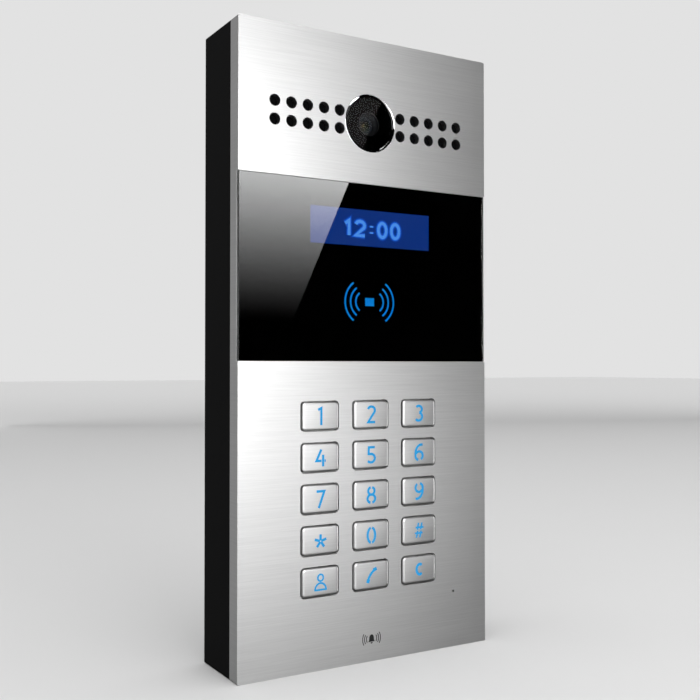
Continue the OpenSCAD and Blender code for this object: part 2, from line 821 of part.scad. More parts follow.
// A steel plate with two hooks at the top and two drilled tabs at the bottom, all bent out of the plate
module wall_bracket() color("lightgray") difference() {
    union() {
        slab(0, bracket_t) rounded(bracket_size, 4);
        for (side = [-1, 1]) {
            slab(0, hook_d[1]) translate([side * hook_x, hook_arm_z + bracket_t / 2])
                square([hook_w, bracket_t], center = true);
            slab(hook_d[0], hook_d[1]) translate([side * hook_x, hook_arm_z + hook_lip_h / 2])
                square([hook_w, hook_lip_h], center = true);
            slab(0, lock_tab[1]) translate([side * lock_x, lock_z + bracket_t / 2])
                square([lock_tab[0], bracket_t], center = true);
        }
    }
    for (x = [-1, 1], z = [-1, 1]) {
        place = [x * wall_screw_pitch[0] / 2, z * wall_screw_pitch[1] / 2];
        disc(place, wall_hole_dia / 2, -eps, bracket_t + eps);
    }
    for (side = [-1, 1]) {
        translate([side * lock_x, -lock_d, lock_z - eps])
            cylinder(r = screw_m3_hole_r, h = bracket_t + 2 * eps);
        slab(-eps, bracket_t + eps) {
            translate([side * box_slot_pitch / 2, 0]) slot(slot_len, wall_hole_dia / 2);
            // the plate is open where each tab and hook was bent out
            translate([side * lock_x, lock_z + bracket_t + lock_tab_hole[1] / 2 + eps])
                square(lock_tab_hole, center = true);
            translate([side * hook_x, hook_arm_z + bracket_t + hook_d[1] / 2])
                square([hook_w, hook_d[1] - 1], center = true);
        }
    }
    slab(-eps, bracket_t + eps)
        translate([0, well_z]) square([well_size[0] - 4, well_size[1] - 4], center = true);
}

// Foam frame that closes the gap around the cable well
module well_seal() color([0.15, 0.15, 0.15]) {
    slab(bracket_t, tray_d) translate([0, well_z]) difference() {
        square([well_size[0] + 8, well_size[1] + 8], center = true);
        square([well_size[0] + 1, well_size[1] + 1], center = true);
    }
}

// ---- fasteners ----

// A screw whose head is at depth from and whose shank runs to depth to
module screw(place, from, to, head, r) {
    step = to > from ? 1 : -1;
    union() {
        disc(place, head[0], min(from, from + step * head[1]), max(from, from + step * head[1]));
        disc(place, r, min(from, to), max(from, to));
    }
}

module panel_screws() color("lightgray") {
    for (side = [-1, 1], z = panel_screw_z)
        screw([side * panel_screw_x, z], 5.8, face_back, screw_m3_head, screw_m3_r);
}

module lock_screws() color("lightgray") {
    for (side = [-1, 1]) translate([side * lock_x, -lock_d, -panel_h / 2 + 0.2]) union() {
        cylinder(r = screw_m3_head[0], h = screw_m3_head[1]);
        cylinder(r = screw_m3_r, h = 8.5);
    }
}

// The small screws come from behind into the front panel's bosses, and from the front into the housing
module small_screws() color("lightgray") {
    seats = concat(
        [for (side = [-1, 1], z = carrier_screw_z) [[side * carrier_screw_x, z], carrier_d[0]]],
        [for (side = [-1, 1], z = keypad_screw_z) [[side * keypad_screw_x, z], keypad_board_d[0]]],
        [for (side = [-1, 1]) [[0, camera_z + side * camera_boss_z], camera_plate_d[0]]],
        [for (x = [-1, 1], z = [-1, 1]) [[x * speaker_x, camera_z + z * speaker_screw_z], speaker_tab_back]]
    );
    for (seat = seats)
        screw(seat[0], seat[1] - small_head[1], seat[1] + small_len, small_head, small_r);
    for (place = board_screw_places)
        screw(place, board_d[1] + small_head[1], board_d[1] - small_len, small_head, small_r);
}

// ---- wiring ----

// A flat ribbon folded once at height bend, between the main board's side and the front modules' side.
// Its two legs run to the heights in ends, both above the fold or both below it.
module ribbon(x, width, depths, bend, ends) {
    thickness = 0.3;
    r = (depths[1] - depths[0]) / 2;
    up = ends[0] > bend ? 1 : 0;
    translate([x - width / 2, -(depths[0] + depths[1]) / 2, bend]) rotate([90, 0, 90])
        mirror([0, up, 0]) linear_extrude(width) union() {
            difference() {
                circle(r);
                circle(r - thickness);
                translate([-2 * r, -2 * r]) square([4 * r, 2 * r]);
            }
            translate([-r, -abs(ends[1] - bend)]) square([thickness, abs(ends[1] - bend)]);
            translate([r - thickness, -abs(ends[0] - bend)]) square([thickness, abs(ends[0] - bend)]);
        }
}

module flat_ribbons() color("ivory") {
    socket_front = board_d[1] + 2;
    ribbon(ribbon_x, 16, [socket_front, lcd_connector_back], 12, [24.5, 44.5]);
    ribbon(0, 16, [socket_front, keypad_board_d[0]], -46, [-64, -60]);
}

// Routes of the round leads, each point as [x, depth, z]
camera_route = [
    [0, 11.6, 92], [0, 11.6, 86], [0, 11.6, 70], [0, 14, 56], [0, 19, 46], [0, 20.4, 38], [0, 20, 32.5]
];
speaker_route = [
    [38, 29.6, 93.2], [38, 26, 92.6], [37.5, 22, 88], [36, 20.4, 79],
    [31, 20.2, 60], [25, 20.2, 40], [24, 20, 30.5]
];
mic_route = [
    [46, 28.4, -114], [46, 25, -114], [46.6, 21.8, -109], [46, 20.6, -100],
    [40.6, 20, -93], [40, 20, -90], [40, 20, -86.5]
];

module inner_leads() color([0.15, 0.15, 0.15]) {
    sweep(curve(outward(camera_route)), 1.1);
    for (side = [-1, 1])
        sweep(curve(outward([for (p = speaker_route) [side * p[0], p[1], p[2]]])), 0.8);
    sweep(curve(outward(mic_route)), 0.7);
}

// ---- nodes ----

front_panel();
window_glass();
window_film();
display_carrier();
lcd_glass();
lcd_frame();
lcd_board();
antenna_board();
antenna_coil();
icon_light_guide();
camera_bezel();
camera_glass();
lens_barrel();
lens_element();
camera_board();
camera_bracket();
night_lights();
speaker_frames();
speaker_magnets();
speaker_cones();
speaker_gaskets();
speaker_mesh();
for (row = [0:key_rows - 1], column = [0:key_columns - 1])
    key(row, column);
keypad_mat();
keypad_board();
keypad_leds();
microphone();
microphone_boot();
seal_gasket();
rear_housing();
main_board();
relays();
capacitors();
board_connectors();
terminal_blocks();
network_socket();
tamper_switch();
tamper_plunger();
tamper_spring();
wall_bracket();
well_seal();
panel_screws();
lock_screws();
small_screws();
flat_ribbons();
inner_leads();
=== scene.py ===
import math
import bmesh
import bpy
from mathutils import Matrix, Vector


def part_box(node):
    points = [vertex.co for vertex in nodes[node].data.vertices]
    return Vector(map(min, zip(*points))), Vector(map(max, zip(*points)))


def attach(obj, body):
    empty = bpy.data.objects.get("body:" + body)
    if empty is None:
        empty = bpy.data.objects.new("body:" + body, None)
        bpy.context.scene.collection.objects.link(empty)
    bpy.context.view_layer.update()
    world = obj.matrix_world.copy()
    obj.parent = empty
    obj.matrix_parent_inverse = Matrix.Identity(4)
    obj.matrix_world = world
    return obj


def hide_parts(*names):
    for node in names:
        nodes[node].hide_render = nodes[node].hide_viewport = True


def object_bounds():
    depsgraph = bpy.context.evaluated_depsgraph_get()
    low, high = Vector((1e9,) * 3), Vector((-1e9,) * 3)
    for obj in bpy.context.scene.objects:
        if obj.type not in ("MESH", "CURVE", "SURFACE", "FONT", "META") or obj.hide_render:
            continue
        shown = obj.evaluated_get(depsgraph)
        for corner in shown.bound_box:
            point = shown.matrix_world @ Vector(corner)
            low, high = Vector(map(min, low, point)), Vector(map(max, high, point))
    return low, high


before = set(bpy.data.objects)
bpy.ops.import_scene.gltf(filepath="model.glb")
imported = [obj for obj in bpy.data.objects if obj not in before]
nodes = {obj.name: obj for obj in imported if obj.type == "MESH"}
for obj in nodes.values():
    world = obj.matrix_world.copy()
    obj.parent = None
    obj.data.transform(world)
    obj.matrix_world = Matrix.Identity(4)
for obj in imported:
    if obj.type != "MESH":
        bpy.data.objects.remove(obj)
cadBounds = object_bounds()
mm = 0.001
scene = bpy.context.scene
scene.view_settings.view_transform = "Standard"  # keeps the hex colours below as they are written
print("frame loaded:", len(nodes), "nodes")


# ---- small helpers ----

def hexColour(code):
    channels = [int(code[i:i + 2], 16) / 255 for i in (1, 3, 5)]
    linear = [c / 12.92 if c <= 0.04045 else ((c + 0.055) / 1.055) ** 2.4 for c in channels]
    return (*linear, 1.0)


def addNode(tree, kind, values=None, links=None, **settings):
    node = tree.nodes.new(kind)
    for name, value in settings.items():
        setattr(node, name, value)
    for name, value in (values or {}).items():
        node.inputs[name].default_value = value
    for name, source in (links or {}).items():
        tree.links.new(source, node.inputs[name])
    return node


def startMaterial(name, **shaderValues):
    material = bpy.data.materials.new(name)
    material.use_nodes = True
    tree = material.node_tree
    shader = tree.nodes["Principled BSDF"]
    for socket, value in shaderValues.items():
        shader.inputs[socket.replace("_", " ")].default_value = value
    return material, tree, shader


# object coordinates stretched so that one unit of the pattern is the given size in mm along X, Y and Z
def patternSpace(tree, sizeX, sizeY, sizeZ):
    place = addNode(tree, "ShaderNodeTexCoord")
    return addNode(tree, "ShaderNodeMapping",
                   {"Scale": (1 / (sizeX * mm), 1 / (sizeY * mm), 1 / (sizeZ * mm))},
                   {"Vector": place.outputs["Object"]}).outputs["Vector"]


def addPiece(name, mesh, body, material, smoothAngle=30):
    mesh.shade_smooth()
    mesh.set_sharp_from_angle(angle=math.radians(smoothAngle))
    mesh.materials.append(material)
    piece = bpy.data.objects.new(name, mesh)
    scene.collection.objects.link(piece)
    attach(piece, body)
    return piece


# points of a rectangle with round corners, seen from the front, anticlockwise
def roundedOutline(width, height, radius, cornerSteps=8):
    points = []
    for cornerX, cornerZ, start in ((1, -1, -90), (1, 1, 0), (-1, 1, 90), (-1, -1, 180)):
        for i in range(cornerSteps + 1):
            angle = math.radians(start + 90 * i / cornerSteps)
            points.append((cornerX * (width / 2 - radius) + radius * math.cos(angle),
                           cornerZ * (height / 2 - radius) + radius * math.sin(angle)))
    return points


def arc(centreX, centreZ, radiusX, radiusZ, start, end, steps=16):
    angles = [math.radians(start + (end - start) * i / steps) for i in range(steps + 1)]
    return [(centreX + radiusX * math.cos(a), centreZ + radiusZ * math.sin(a)) for a in angles]


# a closed skin through outlines that all have the same number of points; each is (points in mm, depth in mm)
def loft(shell, sections, centre=(0, 0)):
    rings = []
    for outline, depth in sections:
        rings.append([shell.verts.new(((x + centre[0]) * mm, -depth * mm, (z + centre[1]) * mm))
                      for x, z in outline])
    for lower, upper in zip(rings, rings[1:]):
        for i in range(len(lower)):
            j = (i + 1) % len(lower)
            shell.faces.new((lower[i], lower[j], upper[j], upper[i]))
    shell.faces.new(rings[0][::-1])
    shell.faces.new(rings[-1])


def finishMesh(name, shell):
    bmesh.ops.recalc_face_normals(shell, faces=shell.faces)
    mesh = bpy.data.meshes.new(name)
    shell.to_mesh(mesh)
    shell.free()
    return mesh


# turns a profile of (radius, depth) points in mm about the Y axis through centre
def turned(shell, profile, centre, steps=72):
    rings = []
    for radius, depth in profile:
        rings.append([shell.verts.new(((centre[0] + radius * math.cos(2 * math.pi * i / steps)) * mm,
                                       -depth * mm,
                                       (centre[1] + radius * math.sin(2 * math.pi * i / steps)) * mm))
                      for i in range(steps)])
    for a, b in zip(rings, rings[1:] + rings[:1]):
        for i in range(steps):
            j = (i + 1) % steps
            shell.faces.new((a[i], a[j], b[j], b[i]))


# a flat ribbon of even width along a path, as a thin closed solid between two depths
def ribbon(shell, path, width, depths, centre=(0, 0)):
    sides = [[], []]
    for i, here in enumerate(path):
        before = Vector(path[max(i - 1, 0)])
        after = Vector(path[min(i + 1, len(path) - 1)])
        here = Vector(here)
        into = (here - before).normalized() if i > 0 else (after - here).normalized()
        out = (after - here).normalized() if i < len(path) - 1 else into
        along = (into + out).normalized()
        across = Vector((-along.y, along.x))
        mitre = 1 / max(0.5, across.dot(Vector((-into.y, into.x))))
        for side, sign in zip(sides, (1, -1)):
            side.append(here + across * sign * mitre * width / 2)
    outline = sides[0] + sides[1][::-1]
    count = len(path)
    front, back = [[shell.verts.new(((p.x + centre[0]) * mm, -depth * mm, (p.y + centre[1]) * mm))
                    for p in outline] for depth in (depths[1], depths[0])]
    last = len(outline) - 1
    for i in range(count - 1):
        shell.faces.new((front[i], front[i + 1], front[last - i - 1], front[last - i]))
        shell.faces.new((back[last - i], back[last - i - 1], back[i + 1], back[i]))
    for i in range(len(outline)):
        j = (i + 1) % len(outline)
        shell.faces.new((front[j], front[i], back[i], back[j]))


# ---- materials ----

# Anodised aluminium, brushed along X: long streaks that draw light out upwards, and a slow cloud of handling
def brushedAluminium(name, colour, roughness, streakHeight):
    material, tree, shader = startMaterial(
        name, Metallic=1.0, Roughness=roughness, Anisotropic=0.45, Anisotropic_Rotation=0.25)
    # real brushing is about 0.05 mm apart; it is drawn coarser so that it shows
    streaks = addNode(tree, "ShaderNodeTexNoise", {"Scale": 1.0, "Detail": 5.0, "Roughness": 0.65},
                      {"Vector": patternSpace(tree, 28, 28, streakHeight)})
    clouds = addNode(tree, "ShaderNodeTexNoise", {"Scale": 1.0, "Detail": 2.0},
                     {"Vector": patternSpace(tree, 60, 60, 22)})
    tone = addNode(tree, "ShaderNodeValToRGB", links={"Fac": streaks.outputs["Fac"]})
    tone.color_ramp.elements[0].position = 0.3
    tone.color_ramp.elements[0].color = hexColour(colour[0])
    tone.color_ramp.elements[1].position = 0.7
    tone.color_ramp.elements[1].color = hexColour(colour[1])
    mixed = addNode(tree, "ShaderNodeMath", {1: 0.5}, {0: clouds.outputs["Fac"]}, operation="MULTIPLY")
    both = addNode(tree, "ShaderNodeMath", {1: 0.5}, {0: streaks.outputs["Fac"]}, operation="MULTIPLY")
    total = addNode(tree, "ShaderNodeMath", links={0: mixed.outputs[0], 1: both.outputs[0]}, operation="ADD")
    dullness = addNode(tree, "ShaderNodeMapRange", {"To Min": roughness - 0.05, "To Max": roughness + 0.05},
                       {"Value": total.outputs[0]})
    bump = addNode(tree, "ShaderNodeBump", {"Strength": 0.12, "Distance": 0.00002},
                   {"Height": streaks.outputs["Fac"]})
    tangent = addNode(tree, "ShaderNodeTangent", direction_type="RADIAL", axis="Z")
    tree.links.new(tone.outputs["Color"], shader.inputs["Base Color"])
    tree.links.new(dullness.outputs["Result"], shader.inputs["Roughness"])
    tree.links.new(bump.outputs["Normal"], shader.inputs["Normal"])
    tree.links.new(tangent.outputs["Tangent"], shader.inputs["Tangent"])
    return material


# Plain metal with a fine grain: plated steel, chrome or copper, by its colour and roughness
def platedMetal(name, colour, roughness, grain=1.5, spread=0.08):
    material, tree, shader = startMaterial(name, Metallic=1.0, Base_Color=hexColour(colour))
    mottle = addNode(tree, "ShaderNodeTexNoise", {"Scale": 1.0, "Detail": 4.0},
                     {"Vector": patternSpace(tree, grain, grain, grain)})
    dullness = addNode(tree, "ShaderNodeMapRange",
                       {"To Min": max(0.02, roughness - spread), "To Max": roughness + spread},
                       {"Value": mottle.outputs["Fac"]})
    bump = addNode(tree, "ShaderNodeBump", {"Strength": 0.05, "Distance": 0.00002},
                   {"Height": mottle.outputs["Fac"]})
    tree.links.new(dullness.outputs["Result"], shader.inputs["Roughness"])
    tree.links.new(bump.outputs["Normal"], shader.inputs["Normal"])
    return material


# Zinc-plated sheet: large soft crystals in slightly different greys, with fine rolling lines
def zincSheet(name):
    material, tree, shader = startMaterial(name, Metallic=1.0, Roughness=0.38)
    crystals = addNode(tree, "ShaderNodeTexVoronoi", {"Scale": 1.0, "Randomness": 1.0},
                       {"Vector": patternSpace(tree, 9, 9, 9)})
    tone = addNode(tree, "ShaderNodeMix", data_type="RGBA",
                   links={"Factor": crystals.outputs["Color"]})
    tone.inputs[6].default_value = hexColour("#b3b7ba")
    tone.inputs[7].default_value = hexColour("#c9ccce")
    rolling = addNode(tree, "ShaderNodeTexNoise", {"Scale": 1.0, "Detail": 3.0},
                      {"Vector": patternSpace(tree, 0.4, 20, 20)})
    dullness = addNode(tree, "ShaderNodeMapRange", {"To Min": 0.3, "To Max": 0.46},
                       {"Value": rolling.outputs["Fac"]})
    bump = addNode(tree, "ShaderNodeBump", {"Strength": 0.08, "Distance": 0.00003},
                   {"Height": rolling.outputs["Fac"]})
    tree.links.new(tone.outputs[2], shader.inputs["Base Color"])
    tree.links.new(dullness.outputs["Result"], shader.inputs["Roughness"])
    tree.links.new(bump.outputs["Normal"], shader.inputs["Normal"])
    return material


# Moulded plastic: spark-eroded grain from the tool, and a slight change of tone across the part
def mouldedPlastic(name, colour, roughness, grain=0.6, depth=0.02, sheen=0.5):
    material, tree, shader = startMaterial(name, IOR=1.5, Specular_IOR_Level=sheen)
    pits = addNode(tree, "ShaderNodeTexNoise", {"Scale": 1.0, "Detail": 3.0, "Roughness": 0.6},
                   {"Vector": patternSpace(tree, grain, grain, grain)})
    drift = addNode(tree, "ShaderNodeTexNoise", {"Scale": 1.0, "Detail": 2.0},
                    {"Vector": patternSpace(tree, 45, 45, 45)})
    darker = tuple(0.8 * c for c in hexColour(colour)[:3]) + (1.0,)
    tone = addNode(tree, "ShaderNodeMix", data_type="RGBA", links={"Factor": drift.outputs["Fac"]})
    tone.inputs[6].default_value = darker
    tone.inputs[7].default_value = hexColour(colour)
    dullness = addNode(tree, "ShaderNodeMapRange", {"To Min": roughness - 0.06, "To Max": roughness + 0.06},
                       {"Value": pits.outputs["Fac"]})
    bump = addNode(tree, "ShaderNodeBump", {"Strength": 0.35, "Distance": depth * mm},
                   {"Height": pits.outputs["Fac"]})
    tree.links.new(tone.outputs[2], shader.inputs["Base Color"])
    tree.links.new(dullness.outputs["Result"], shader.inputs["Roughness"])
    tree.links.new(bump.outputs["Normal"], shader.inputs["Normal"])
    return material


# Clear pressed glass, with a faint unevenness in its polish
def clearGlass(name, colour="#f4f6f6", index=1.5):
    material, tree, shader = startMaterial(
        name, IOR=index, Transmission_Weight=1.0, Base_Color=hexColour(colour))
    polish = addNode(tree, "ShaderNodeTexNoise", {"Scale": 1.0, "Detail": 1.0},
                     {"Vector": patternSpace(tree, 30, 30, 30)})
    dullness = addNode(tree, "ShaderNodeMapRange", {"To Min": 0.0, "To Max": 0.006},
                       {"Value": polish.outputs["Fac"]})
    tree.links.new(dullness.outputs["Result"], shader.inputs["Roughness"])
    return material


# Coloured light through a diffusing plastic: even, with a slow ripple of brightness
def litPlastic(name, colour, strength, ripple=0.12, size=5):
    material, tree, shader = startMaterial(name, IOR=1.5, Roughness=0.5, Base_Color=hexColour("#030405"),
                                           Specular_IOR_Level=0.1, Emission_Strength=strength)
    glow = addNode(tree, "ShaderNodeTexNoise", {"Scale": 1.0, "Detail": 1.0},
                   {"Vector": patternSpace(tree, size, size, size)})
    full = hexColour(colour)
    tone = addNode(tree, "ShaderNodeMix", data_type="RGBA", links={"Factor": glow.outputs["Fac"]})
    tone.inputs[6].default_value = tuple((1 - ripple) * c for c in full[:3]) + (1.0,)
    tone.inputs[7].default_value = full
    tree.links.new(tone.outputs[2], shader.inputs["Emission Color"])
    return material


# Circuit board: glossy solder mask over fine tracks
def circuitBoard(name):
    material, tree, shader = startMaterial(name, IOR=1.5, Roughness=0.3)
    tracks = addNode(tree, "ShaderNodeTexBrick", {"Scale": 1.0, "Mortar Size": 0.06, "Mortar Smooth": 0.1},
                     {"Vector": patternSpace(tree, 5, 5, 5)}, offset=0.37, squash=0.6, squash_frequency=3)
    place = addNode(tree, "ShaderNodeTexCoord")
    turnedPlace = addNode(tree, "ShaderNodeMapping",
                          {"Rotation": (math.radians(90), 0, 0), "Scale": (200, 200, 200)},
                          {"Vector": place.outputs["Object"]})
    tree.links.new(turnedPlace.outputs["Vector"], tracks.inputs["Vector"])
    tracks.inputs["Color1"].default_value = hexColour("#0d4a2a")
    tracks.inputs["Color2"].default_value = hexColour("#0f5530")
    tracks.inputs["Mortar"].default_value = hexColour("#2c7f4c")
    tree.links.new(tracks.outputs["Color"], shader.inputs["Base Color"])
    return material


# Woven acoustic mesh: two crossing sets of threads
def wovenMesh(name, colour, threadSpacing):
    material, tree, shader = startMaterial(name, IOR=1.5, Roughness=0.8, Specular_IOR_Level=0.1)
    space = patternSpace(tree, threadSpacing, threadSpacing, threadSpacing)
    acrossWave = addNode(tree, "ShaderNodeTexWave", {"Scale": 1.0}, {"Vector": space}, bands_direction="X")
    upWave = addNode(tree, "ShaderNodeTexWave", {"Scale": 1.0}, {"Vector": space}, bands_direction="Z")
    crossed = addNode(tree, "ShaderNodeMath", links={0: acrossWave.outputs["Fac"], 1: upWave.outputs["Fac"]},
                      operation="MULTIPLY")
    tone = addNode(tree, "ShaderNodeMix", data_type="RGBA", links={"Factor": crossed.outputs[0]})
    tone.inputs[6].default_value = hexColour("#000000")
    tone.inputs[7].default_value = hexColour(colour)
    tree.links.new(tone.outputs[2], shader.inputs["Base Color"])
    return material


finishes = {
    "panel": brushedAluminium("brushed anodised aluminium", ("#d9d9d9", "#e4e4e4"), 0.4, 0.42),
    "key": brushedAluminium("brushed aluminium key", ("#d6d6d6", "#e0e0e0"), 0.4, 0.5),
    "housing": mouldedPlastic("moulded ABS black", "#0e0e0f", 0.55, grain=0.7, depth=0.03, sheen=0.05),
    "innerBlack": mouldedPlastic("moulded PBT black", "#141416", 0.45),
    "innerGrey": mouldedPlastic("moulded ABS grey", "#4a4d50", 0.5),
    "white": mouldedPlastic("moulded nylon white", "#d9d8d2", 0.4),
    "green": mouldedPlastic("moulded polyamide green", "#2f8a48", 0.4),
    "blue": mouldedPlastic("moulded relay case blue", "#2447a8", 0.35),
    "rubber": mouldedPlastic("foamed EPDM rubber", "#17171a", 0.8, grain=0.4, depth=0.06, sheen=0.2),
    "silicone": mouldedPlastic("moulded silicone", "#cfd3d2", 0.55, grain=2, depth=0.01),
    "glass": clearGlass("half-mirror float glass", index=1.85),
    "coverGlass": clearGlass("anti-reflection cover glass", "#c9cdd2", index=1.12),
    "print": mouldedPlastic("screen printed black", "#020202", 0.6, grain=0.3, depth=0.004, sheen=0.0),
    "mark": mouldedPlastic("pad printed black", "#0c0c0e", 0.45, grain=0.3, depth=0.004),
    "display": litPlastic("backlit display blue", "#0b3386", 1.0, ripple=0.1, size=22),
    "displayText": litPlastic("lit display segment", "#559ffc", 1.0, ripple=0.05),
    "displayHalo": litPlastic("lit display glow", "#1263ee", 1.0, ripple=0.05),
    "displayHaze": litPlastic("lit display haze", "#1040a0", 1.0, ripple=0.05),
    "icon": litPlastic("backlit polycarbonate blue", "#068cec", 0.95, ripple=0.1, size=9),
    "legend": litPlastic("translucent polycarbonate legend", "#28acf4", 0.85, ripple=0.1, size=4),
    "chrome": platedMetal("polished chrome plate", "#e8e8ea", 0.06, spread=0.03),
    "steel": platedMetal("nickel plated steel", "#b8b9bc", 0.28),
    "copper": platedMetal("etched copper", "#c98456", 0.3),
    "zinc": zincSheet("zinc plated sheet steel"),
    "board": circuitBoard("solder mask green"),
    "mesh": wovenMesh("woven polyester mesh", "#08080a", 0.5),
    "cone": mouldedPlastic("pressed paper cone", "#1a1a1c", 0.7, grain=0.8, depth=0.08),
}
print("materials made:", len(finishes))

nodeFinishes = {
    "front_panel": "panel", "window_film": "print", "display_carrier": "innerGrey", "lcd_glass": "display",
    "lcd_frame": "innerBlack", "lcd_board": "board", "antenna_board": "board", "antenna_coil": "copper",
    "icon_light_guide": "icon", "camera_bezel": "chrome", "camera_board": "board",
    "camera_bracket": "innerGrey", "night_lights": "white", "speaker_frames": "innerGrey",
    "speaker_magnets": "steel", "speaker_cones": "cone", "speaker_gaskets": "rubber",
    "speaker_mesh": "mesh", "keypad_mat": "silicone", "keypad_board": "board", "keypad_leds": "white",
    "microphone": "steel", "microphone_boot": "rubber", "seal_gasket": "rubber",
    "rear_housing": "housing", "main_board": "board", "relays": "blue", "capacitors": "innerBlack",
    "board_connectors": "white", "terminal_blocks": "green", "network_socket": "steel",
    "tamper_switch": "innerBlack", "tamper_plunger": "white", "tamper_spring": "steel",
    "wall_bracket": "zinc", "well_seal": "rubber", "panel_screws": "steel", "lock_screws": "steel",
    "small_screws": "steel",
    "flat_ribbons": "white", "inner_leads": "rubber", "lens_barrel": "innerBlack",
}
for nodeName, finish in nodeFinishes.items():
    for materialSlot in nodes[nodeName].material_slots:
        materialSlot.link = "OBJECT"
        materialSlot.material = finishes[finish]


# softens a CAD node's outer edges with modifiers, leaving its mesh as it is
def softenEdges(nodeName, width, segments=2, angle=40):
    edge = nodes[nodeName].modifiers.new("soft edge", "BEVEL")
    edge.width = width * mm
    edge.segments = segments
    edge.limit_method = "ANGLE"
    edge.angle_limit = math.radians(angle)
    edge.use_clamp_overlap = True
    shading = nodes[nodeName].modifiers.new("even shading", "WEIGHTED_NORMAL")
    shading.keep_sharp = True


for nodeName, width in {"rear_housing": 0.4, "wall_bracket": 0.15}.items():
    softenEdges(nodeName, width)


# ---- window: glass slab over the printed film ----

glassSlab = {"chamfer": 0.12, "backGap": 0.02, "cornerRadius": 0.4}


def makeGlass():
    low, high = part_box("window_glass")
    width, height = (high.x - low.x) / mm, (high.z - low.z) / mm
    centre = ((low.x + high.x) / 2 / mm, (low.z + high.z) / 2 / mm)
    back, front = -high.y / mm + glassSlab["backGap"], -low.y / mm
    chamfer, radius = glassSlab["chamfer"], glassSlab["cornerRadius"]
    small = roundedOutline(width - 2 * chamfer, height - 2 * chamfer, radius * 0.5)
    full = roundedOutline(width, height, radius)
    shell = bmesh.new()
    loft(shell, [(full, back), (full, front - chamfer), (small, front)], centre)
    piece = addPiece("window_glass_slab", finishMesh("window_glass_slab", shell), "unit",
                     finishes["glass"])
    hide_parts("window_glass")


makeGlass()


# ---- display text ----

# the lit time's strokes in mm, from the left end of its baseline; the wide layers are the backlight's glow
clock = {"origin": (-21.5, 50.6), "layers": ((3.4, "displayHaze", 0.02), (2.3, "displayHalo", 0.04),
                                             (1.4, "displayText", 0.06))}


def clockStrokes():
    def zero(x):
        return arc(x, 3.5, 2.1, 3.2, 0, 360, 32)

    return [
        [(8.8, 5.4), (10.8, 6.8), (10.8, 0.2)],
        arc(16.6, 4.9, 2.3, 1.9, 165, -35) + [(14.3, 0.4), (19.1, 0.4)],
        [(22.6, 1.6), (22.6, 2.4)], [(22.6, 4.4), (22.6, 5.2)],
        zero(28.4), zero(35.4),
    ]


def makeClock():
    surface = -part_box("lcd_glass")[0].y / mm
    for width, finish, proud in clock["layers"]:
        shell = bmesh.new()
        for number, path in enumerate(clockStrokes()):
            ribbon(shell, path, width, (surface + proud - 0.015, surface + proud - 0.0005 * number),
                   clock["origin"])
        addPiece("display_" + finish, finishMesh("display_" + finish, shell), "unit",
                 finishes[finish])


makeClock()


# ---- camera: cover glass, printed ring and lens ----

cameraEye = {"glassRadius": 12.0, "rim": 0.15, "chamfer": 0.95, "printRadius": 5.5, "lensRings": 4}


def makeCamera():
    low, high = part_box("camera_glass")
    centre = (0.0, (low.z + high.z) / 2 / mm)
    back, front = -high.y / mm, -low.y / mm
    radius = cameraEye["glassRadius"]

    # flat cover glass with a ground rim
    rim = cameraEye["rim"]
    shell = bmesh.new()
    circle = [(radius * math.cos(math.radians(a)), radius * math.sin(math.radians(a)))
              for a in range(0, 360, 4)]
    smaller = [(x * (1 - rim / radius), z * (1 - rim / radius)) for x, z in circle]
    loft(shell, [(circle, back + 0.07), (circle, front - rim), (smaller, front)], centre)
    glass = addPiece("camera_cover_glass", finishMesh("camera_cover_glass", shell), "unit",
                     finishes["coverGlass"])
    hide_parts("camera_glass")

    # polished ring with a shallow chamfer and slightly rounded edges
    ringLow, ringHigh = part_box("camera_bezel")
    ringFront, ringBack, ringRadius = -ringLow.y / mm, -ringHigh.y / mm, (ringHigh.x - ringLow.x) / 2 / mm
    seat = radius + 0.1
    profile = [(ringRadius, ringBack), (ringRadius, ringFront - 0.1), (ringRadius - 0.03, ringFront - 0.03),
               (ringRadius - 0.1, ringFront), (seat + cameraEye["chamfer"], ringFront),
               (seat + cameraEye["chamfer"] - 0.1, ringFront - 0.03), (seat + 0.05, front + 0.02),
               (seat, front - 0.03), (seat, back), (10.0, back), (10.0, ringBack)]
    shell = bmesh.new()
    turned(shell, profile, centre, 120)
    ring = addPiece("camera_bezel_ring", finishMesh("camera_bezel_ring", shell), "unit",
                    finishes["chrome"], smoothAngle=24)
    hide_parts("camera_bezel")

    # black print behind the glass and round its edge, open over the lens
    shell = bmesh.new()
    turned(shell, [(cameraEye["printRadius"], back + 0.01), (radius + 0.08, back + 0.01),
                   (radius + 0.08, front - rim), (radius + 0.02, front - rim),
                   (radius + 0.02, back + 0.05), (cameraEye["printRadius"], back + 0.05)], centre, 90)
    addPiece("camera_print_ring", finishMesh("camera_print_ring", shell), "unit",
             finishes["print"])

    # lens barrel with baffle rings stepping down to the front element
    barrelLow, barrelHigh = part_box("lens_barrel")
    barrelFront, barrelBack = -barrelLow.y / mm, -barrelHigh.y / mm
    steps = [(6.5, barrelBack), (6.5, barrelFront - 0.4), (6.1, barrelFront), (5.4, barrelFront)]
    for i in range(cameraEye["lensRings"]):
        steps += [(5.2 - 0.22 * i, barrelFront - 0.1 - 0.4 * i),
                  (5.2 - 0.22 * i, barrelFront - 0.4 - 0.4 * i)]
    steps += [(4.25, barrelFront - 1.8), (4.25, barrelFront - 3), (3, barrelFront - 3), (3, barrelBack)]
    shell = bmesh.new()
    turned(shell, steps, centre)
    barrel = addPiece("lens_barrel_stepped", finishMesh("lens_barrel_stepped", shell), "unit",
                      finishes["innerBlack"])
    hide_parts("lens_barrel")


